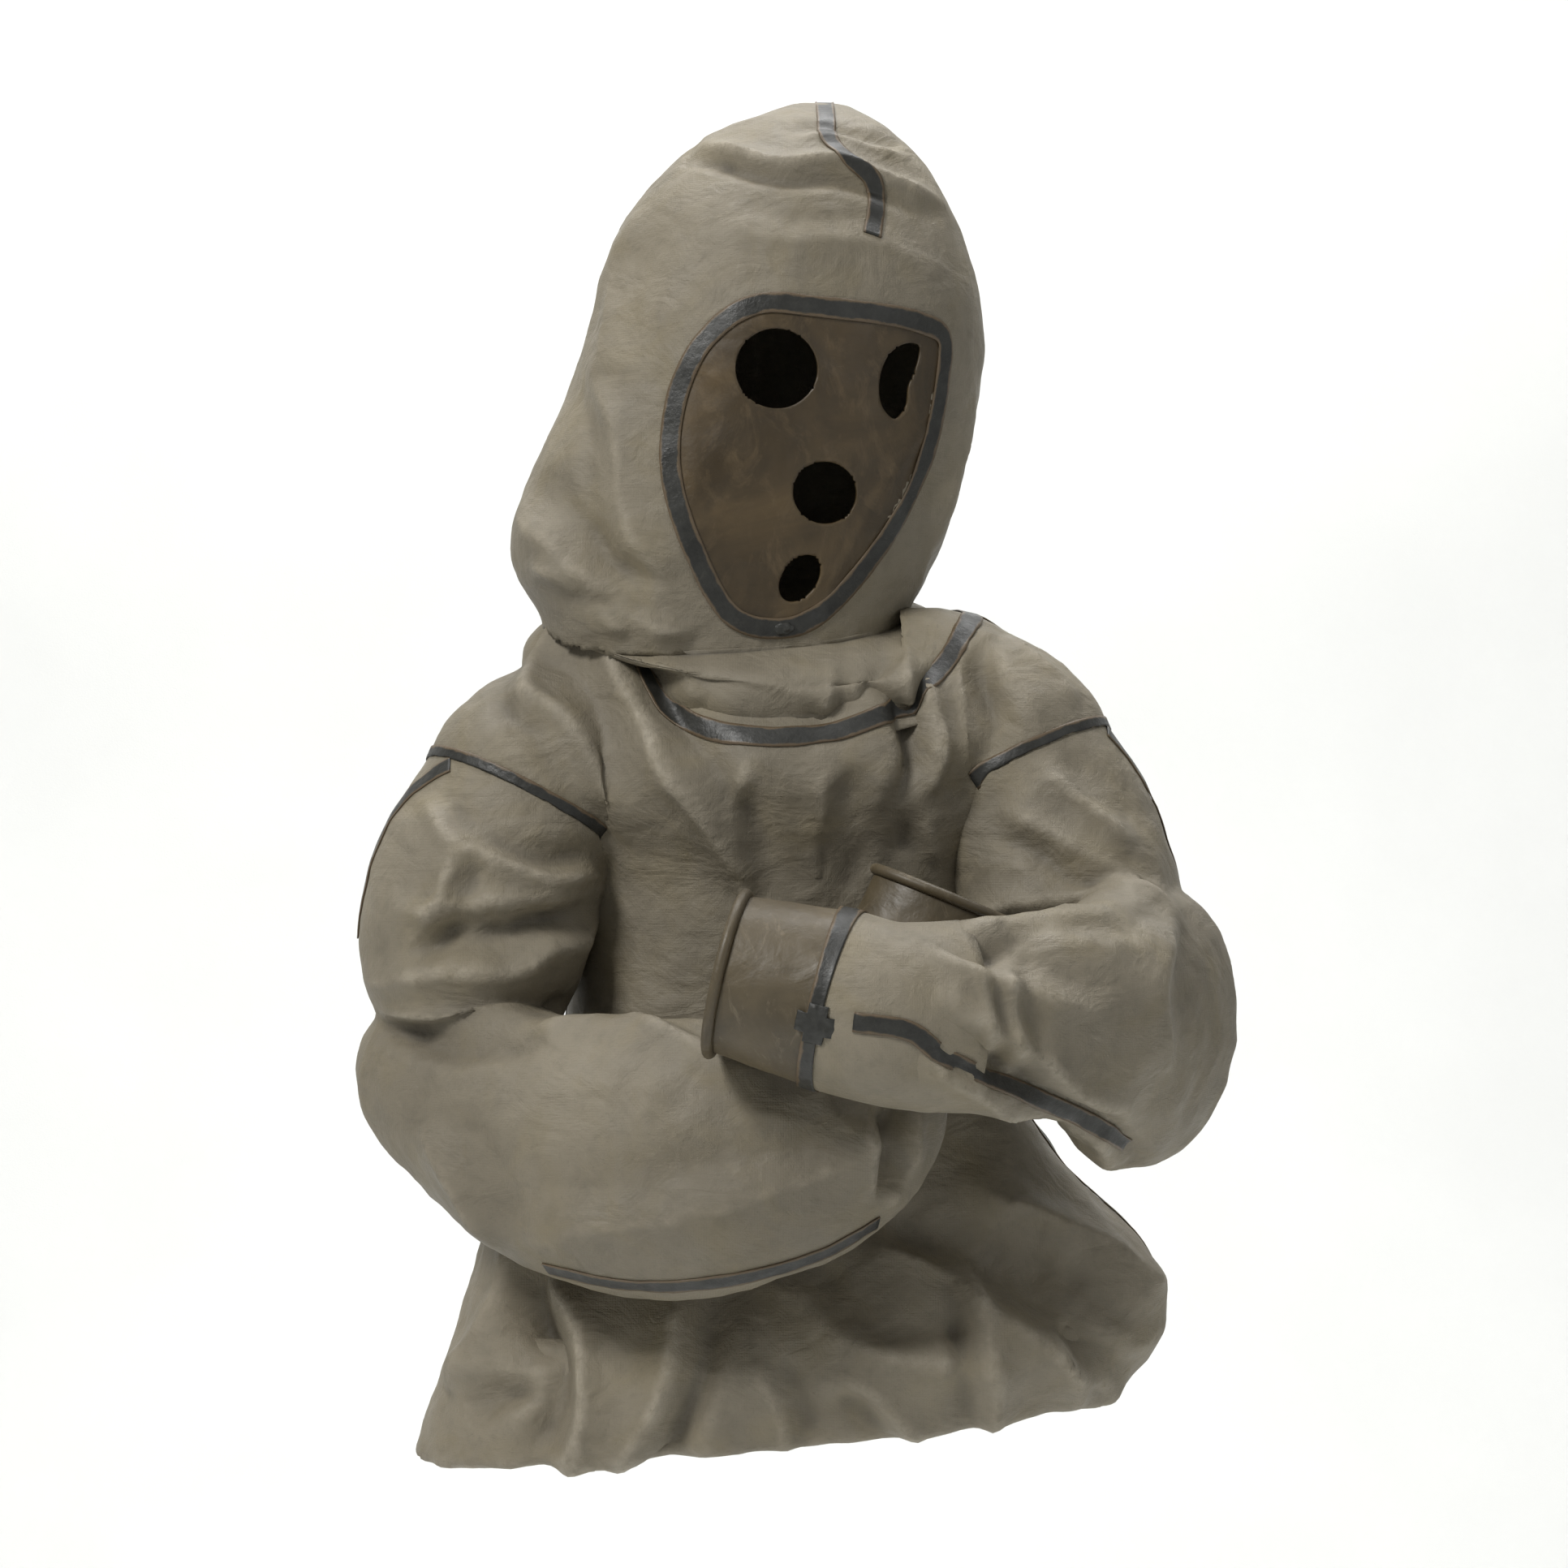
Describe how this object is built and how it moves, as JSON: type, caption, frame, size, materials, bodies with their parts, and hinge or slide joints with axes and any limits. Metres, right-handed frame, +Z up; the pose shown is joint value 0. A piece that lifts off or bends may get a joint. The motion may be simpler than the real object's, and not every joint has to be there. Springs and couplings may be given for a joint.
{
  "type": "hooded protective smock",
  "caption": "Hooded pullover smock of rubberised canvas, worn with folded sleeves, with a cut-hole rubber face panel, taped seams and rubber cuffs.",
  "frame": {"origin": "middle of the neck opening, where the wearer's shoulders carry the smock", "axes": "+Z up, the front of the garment faces -Y, the wearer's right side is at -X"},
  "size_m": [0.6044, 0.4864, 0.9477],
  "materials": {
    "canvas": "rubberised grey-green canvas, matt with a soft sheen on the folds",
    "tape": "dark cemented seam tape with a low gloss",
    "face_rubber": "smooth olive-brown sheet rubber, scuffed",
    "cuff_rubber": "smooth olive-brown moulded rubber"
  },
  "bodies": {
    "smock": {"front_body": "canvas", "back_body": "canvas", "neckline_tape": "tape", "neckline_backing_strip": "canvas", "hem_facing": "canvas", "right_armhole_tape": "tape", "right_shoulder_tape": "tape", "right_side_tape": "tape", "left_armhole_tape": "tape", "left_shoulder_tape": "tape", "left_side_tape": "tape"},
    "neck": {"neck_skirt": "canvas"},
    "hood": {"hood_right_panel": "canvas", "hood_left_panel": "canvas", "face_panel": "face_rubber", "face_tape": "tape", "chin_tape_patch": "tape", "crown_tape": "tape"},
    "left_sleeve": {"left_upper_sleeve": "canvas", "left_forearm_sleeve": "canvas", "left_elbow_tape": "tape", "left_sleeve_seam_tape": "tape", "left_sleeve_band": "canvas", "left_cuff": "cuff_rubber", "left_cuff_tape": "tape", "left_cross_patch": "tape", "left_cuff_rim": "cuff_rubber"},
    "right_sleeve": {"right_upper_sleeve": "canvas", "right_forearm_sleeve": "canvas", "right_elbow_tape": "tape", "right_sleeve_seam_tape": "tape", "right_sleeve_band": "canvas", "right_cuff": "cuff_rubber", "right_cuff_tape": "tape", "right_cross_patch": "tape", "right_cuff_rim": "cuff_rubber"}
  },
  "joints": [
    {"name": "hood_turn", "type": "hinge", "parent": "smock", "child": "neck", "pos_m": [-0.01, 0, 0.03], "axis": [0, 0, 1], "range_deg": [-3, 15], "deforming": ["neck_skirt"]},
    {"name": "hood_nod", "type": "hinge", "parent": "neck", "child": "hood", "pos_m": [-0.02, 0, 0.05], "axis": [1, 0, 0], "range_deg": [-6, 2], "deforming": ["neck_skirt"]},
    {"name": "left_sleeve_lift", "type": "hinge", "parent": "smock", "child": "left_sleeve", "pos_m": [0, -0.034, -0.085], "axis": [-1, 0, 0], "range_deg": [0, 20], "deforming": ["left_upper_sleeve", "left_elbow_tape"]},
    {"name": "right_sleeve_lift", "type": "hinge", "parent": "smock", "child": "right_sleeve", "pos_m": [0, -0.034, -0.085], "axis": [-1, 0, 0], "range_deg": [0, 20], "deforming": ["right_upper_sleeve", "right_elbow_tape"]}
  ],
  "couplings": [
    {"joint": "right_sleeve_lift", "follows": "left_sleeve_lift", "ratio": 1}
  ]
}
